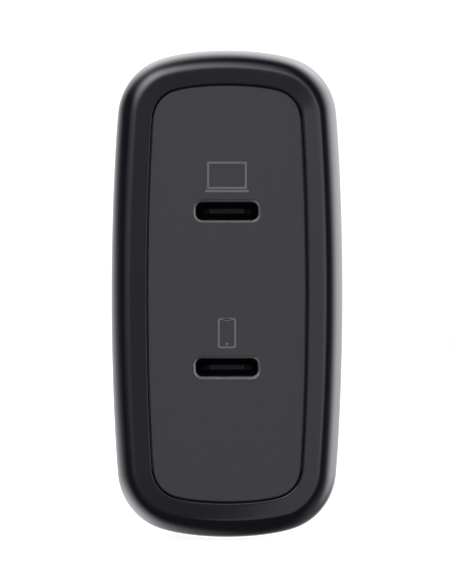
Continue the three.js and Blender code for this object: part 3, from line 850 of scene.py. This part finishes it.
def tray():
    """The moulded tray: four layers from the rear face inwards, and a flange behind the housing's wall.

    The first layer has rounded edges and reaches a little way into the second one."""

    def rectangle(grow):
        return rounded_rectangle(2 * (TRAY_HALF_WIDTH + grow), 2 * (TRAY_HALF_HEIGHT + grow), TRAY_CORNER)

    outline = rectangle(0)
    foot = PIVOT.z + PIVOT.y
    island = rounded_rectangle(2 * SLOT_INNER, foot - SCOOP_TOP, 1.1 * MM, (0, (foot + SCOOP_TOP) / 2))
    rounding = 0.25 * MM
    rim = -1.7 * MM
    flange = -REAR_WALL - GAP
    layers = (
        ([outline, tray_opening(True, True, False), island], rim - rounding, 0, rounding),
        ([outline, tray_opening(True, True, True), island], SCOOP_FLOOR, rim, 0),
        ([outline, tray_opening(True, False, True)], SLOT_FLOOR, SCOOP_FLOOR, 0),
        ([outline, tray_opening(False, False, True)], TRAY_LOW.y, SLOT_FLOOR, 0),
        ([rectangle(1 * MM), rectangle(-0.5 * MM)], flange - 1.4 * MM, flange, 0.2 * MM),
    )
    parts = [plate("tray_layer", loops, low, high, bevel) for loops, low, high, bevel in layers]
    piece = joined("plug_tray", parts)
    return stands_for(piece, "blade_tray", "case", "inner_plastic")


def blade(side):
    """A stamped blade with coined edges and a round hole, narrow in the carrier and wide outside it."""
    node = f"blade_{side}"
    low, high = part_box(node)
    middle = (low.y + high.y) / 2
    shoulder = low.z + BLADE_REACH
    tip_corner = 1.5 * MM
    tail_corner = 0.8 * MM
    profile = filleted([
        (middle - BLADE_NECK, high.z - tail_corner, 0.3 * MM),
        (middle - BLADE_NECK, shoulder, 0),
        (low.y, shoulder, 0.3 * MM),
        (low.y, low.z + tip_corner, 0.6 * MM),
        (low.y + tip_corner, low.z, 0.6 * MM),
        (high.y - tip_corner, low.z, 0.6 * MM),
        (high.y, low.z + tip_corner, 0.6 * MM),
        (high.y, shoulder, 0.3 * MM),
        (middle + BLADE_NECK, shoulder, 0),
        (middle + BLADE_NECK, high.z - tail_corner, 0.3 * MM),
        (middle + BLADE_NECK - tail_corner, high.z, 0.3 * MM),
        (middle - BLADE_NECK + tail_corner, high.z, 0.3 * MM),
    ])
    hole = circle(1.55 * MM, (middle, shoulder - 11.9 * MM))
    piece = plate(f"blade_{side}_finished", [profile, hole], low.x, high.x, 0.2 * MM, "X")
    return stands_for(piece, node, "plug", "nickel_plate")


def plug():
    """The tray, its retainer and the springs stay in the case. The carrier and the two blades fold out."""
    tray()
    finish_node("blade_retainer", "case", "inner_plastic", 0.15 * MM)
    finish_node("blade_carrier", "plug", "inner_plastic", 0.15 * MM)
    finish_node("detent_spring", "case", "steel", 0.08 * MM)
    for side in ("left", "right"):
        blade(side)
        finish_node(f"contact_spring_{side}", "case", "bronze", 0.08 * MM)


# ---------------------------------------------------------------------------------------------------------
# Inside
# ---------------------------------------------------------------------------------------------------------

# Each piece inside: its material and how far its edges are rounded, in millimetres.
INSIDE = {
    "mains_lead_left": ("black_insulation", 0.0),
    "mains_lead_right": ("red_insulation", 0.0),
    "port_board": ("circuit_board", 0.1),
    "upper_port_controller": ("chip_resin", 0.08),
    "lower_port_controller": ("chip_resin", 0.08),
    "main_board": ("circuit_board", 0.1),
    "insulation_sheet": ("insulating_film", 0.05),
    "board_header": ("chip_resin", 0.08),
    "x_capacitor": ("capacitor_box", 0.25),
    "bridge_rectifier": ("chip_resin", 0.2),
    "fuse": ("fuse_body", 0.1),
    "thermistor": ("thermistor_coat", 0.8),
    "y_capacitor": ("blue_coat", 0.8),
    "bulk_capacitor_1": ("capacitor_sleeve", 0.15),
    "bulk_capacitor_2": ("capacitor_sleeve", 0.15),
    "bulk_capacitor_3": ("capacitor_sleeve", 0.15),
    "choke_core": ("ferrite", 0.5),
    "choke_winding_line": ("copper_wire", 0.3),
    "choke_winding_neutral": ("copper_wire", 0.3),
    "transformer_core_lower": ("ferrite", 0.3),
    "transformer_core_upper": ("ferrite", 0.3),
    "transformer_bobbin": ("chip_resin", 0.15),
    "transformer_winding": ("winding_tape", 0.2),
    "thermal_pad": ("thermal_pad", 0.1),
    "heat_spreader": ("aluminium_sheet", 0.15),
    "power_switch": ("chip_resin", 0.1),
    "controller": ("chip_resin", 0.1),
    "optocoupler": ("chip_resin", 0.15),
    "output_rectifier": ("chip_resin", 0.1),
    "upper_buck_inductor": ("ferrite", 0.3),
    "lower_buck_inductor": ("ferrite", 0.3),
    "output_capacitor_1": ("can_aluminium", 0.15),
    "output_capacitor_2": ("can_aluminium", 0.15),
}


def inside():
    """What stands in the case. The round leads are shaded smooth, and only their ends are rounded."""
    for node, (material_slot, bevel) in INSIDE.items():
        if bevel == 0:
            lead = refined(node, 0.01 * MM, 1, 60)
            stands_for(lead, node, "case", material_slot)
        else:
            finish_node(node, "case", material_slot, bevel * MM)


# ---------------------------------------------------------------------------------------------------------
# Studio
# ---------------------------------------------------------------------------------------------------------

def direction(polar, around):
    """A direction given by its angle from -Y and its turn from +X towards +Z, in degrees."""
    p, a = math.radians(polar), math.radians(around)
    return Vector((math.sin(p) * math.cos(a), -math.cos(p), math.sin(p) * math.sin(a)))


# Soft boxes round the object: where each one is, its half angles across and along, its soft edge and its
# brightness. Along runs away from -Y, and across runs round it. The comments say where they stand.
# Most of these numbers were not chosen by hand: they are the rounded result of a least-squares fit.
SOFT_BOXES = (
    {"polar": 103, "around": 22, "across": 46, "along": 22, "edge": 24, "level": 5.0},  # right side
    {"polar": 118, "around": 92, "across": 38, "along": 19, "edge": 24, "level": 4.9},  # above
    {"polar": 48, "around": 127, "across": 12, "along": 17, "edge": 17, "level": 5.6},  # upper left, front
    {"polar": 41, "around": 98, "across": 13, "along": 13, "edge": 14, "level": 2.2},  # above, front
    {"polar": 71, "around": 122, "across": 18, "along": 28, "edge": 19, "level": 1.0},  # upper left
    {"polar": 106, "around": 222, "across": 28, "along": 24, "edge": 24, "level": 3.8},  # lower left
    {"polar": 150, "around": 180, "across": 40, "along": 33, "edge": 25, "level": 1.7},  # left, behind
    {"polar": 19, "around": -27, "across": 24, "along": 10, "edge": 2, "level": 0.65},  # lower right, front
    {"polar": 28, "around": 74, "across": 12, "along": 7, "edge": 7, "level": 1.3},  # above, by the camera
    {"polar": 0, "around": 0, "across": 22, "along": 32, "edge": 14, "level": 0.3},  # at the camera
    {"polar": 160, "around": 25, "across": 30, "along": 40, "edge": 17, "level": 1.7},  # right, behind
    {"polar": 115, "around": -18, "across": 45, "along": 54, "edge": 17, "level": 0.45},  # right, weak
    {"polar": 37, "around": 163, "across": 12, "along": 16, "edge": 12, "level": 0.8},  # left, front
    {"polar": 24, "around": 21, "across": 13, "along": 9, "edge": 3, "level": 0.5},  # right, by the camera
)
AMBIENT = 0.1
LIGHT_TINT = (0.975, 0.97, 1.0)


def worked_out(tree, operation, first, second=0.0):
    """The result of a maths node as a socket."""
    return add_node(tree, "ShaderNodeMath", {"operation": operation}, {0: first, 1: second}).outputs[0]


def soft_box(tree, view, polar, around, across, along, edge, level):
    """The brightness of one soft box as a socket."""
    centre = direction(polar, around)
    outward = direction(polar + 90, around)
    sideways = centre.cross(outward)

    def product(axis):
        values = {0: view, 1: axis}
        return add_node(tree, "ShaderNodeVectorMath", {"operation": "DOT_PRODUCT"}, values).outputs["Value"]

    ahead = product(centre)

    def band(axis, half):
        """1 within the half angle to either side along the axis, 0 outside it, with a soft edge between."""
        angle = worked_out(tree, "ARCTAN2", product(axis), ahead)
        values = {
            "Value": worked_out(tree, "ABSOLUTE", angle),
            "From Min": math.radians(half + edge),
            "From Max": math.radians(max(0, half - edge)),
        }
        return add_node(tree, "ShaderNodeMapRange", {"interpolation_type": "SMOOTHSTEP"}, values).outputs[0]

    lit = worked_out(tree, "MULTIPLY", band(sideways, across), band(outward, along))
    return worked_out(tree, "MULTIPLY", lit, level)


def studio_light():
    """White where the camera looks past the object; soft boxes in the dark for everything else."""
    world = bpy.data.worlds.new("Studio")
    bpy.context.scene.world = world
    world.use_nodes = True
    tree = world.node_tree
    tree.nodes.clear()
    view = add_node(tree, "ShaderNodeTexCoord").outputs["Generated"]
    total = AMBIENT
    for box in SOFT_BOXES:
        total = worked_out(tree, "ADD", soft_box(tree, view, **box), total)
    studio = add_node(tree, "ShaderNodeBackground", values={"Color": (*LIGHT_TINT, 1), "Strength": total})
    backdrop = add_node(tree, "ShaderNodeBackground", values={"Color": (1, 1, 1, 1), "Strength": 1.0})
    path = add_node(tree, "ShaderNodeLightPath")
    mix = add_node(tree, "ShaderNodeMixShader", values={0: path.outputs["Is Camera Ray"]})
    tree.links.new(studio.outputs[0], mix.inputs[1])
    tree.links.new(backdrop.outputs[0], mix.inputs[2])
    output = add_node(tree, "ShaderNodeOutputWorld")
    tree.links.new(mix.outputs[0], output.inputs["Surface"])


def studio_floor():
    """A white floor just under the charger, lit so that it meets the backdrop without a line."""
    height = HOUSING_LOW.z - 0.4 * MM
    loop = circle(1200 * MM, steps=96)
    points = [(p.x, p.y, height) for p in loop]
    mesh = bpy.data.meshes.new("floor")
    mesh.from_pydata(points, [], [tuple(range(len(points)))])
    floor = new_piece("floor", mesh)
    material, shader = principled("floor_paper", 0.9)
    tree = material.node_tree
    shade(tree, shader, (0.5, 0.5, 0.5), 0.96, noise(tree, 400, 3))
    shader.inputs["Emission Color"].default_value = (1, 1, 1, 1)
    shader.inputs["Emission Strength"].default_value = 0.9
    shader.inputs["Specular IOR Level"].default_value = 0.0
    mesh.materials.append(material)
    floor.visible_glossy = False
    floor.visible_diffuse = False
    floor.visible_shadow = False


CAMERA_DISTANCE = 450 * MM  # from the front of the case
VIEW_HEIGHT = 78.42 * MM  # what the picture's height takes in, where the case is widest
VIEW_OFFSET = (-0.13 * MM, 0.23 * MM)  # of the camera from the middle of the face, in X and Z
SENSOR = 36.0  # in camera millimetres


def studio_camera():
    """Looks straight at the face from in front of its middle."""
    data = bpy.data.cameras.new("Camera")
    data.sensor_width = SENSOR
    data.lens = SENSOR * (CAMERA_DISTANCE + EDGE_DEPTH) / VIEW_HEIGHT
    data.clip_start = 0.01
    data.clip_end = 20
    camera = bpy.data.objects.new("Camera", data)
    bpy.context.scene.collection.objects.link(camera)
    camera.location = (VIEW_OFFSET[0], FRONT - CAMERA_DISTANCE, VIEW_OFFSET[1])
    camera.rotation_euler = (math.pi / 2, 0, 0)
    bpy.context.scene.camera = camera


def colour_management():
    """Plain colours, with no film look."""
    settings = bpy.context.scene.view_settings
    settings.view_transform = "Standard"
    settings.look = "None"
    settings.exposure = 0
    settings.gamma = 1


# ---------------------------------------------------------------------------------------------------------
# The charger
# ---------------------------------------------------------------------------------------------------------

studio_camera()
studio_light()
studio_floor()
colour_management()

front_housing()
rear_housing()
face_plate()
for port in PORTS:
    socket_shell(port)
    socket_tongue(port)
    socket_contacts(port)
laptop_symbol()
phone_symbol()
plug()
inside()
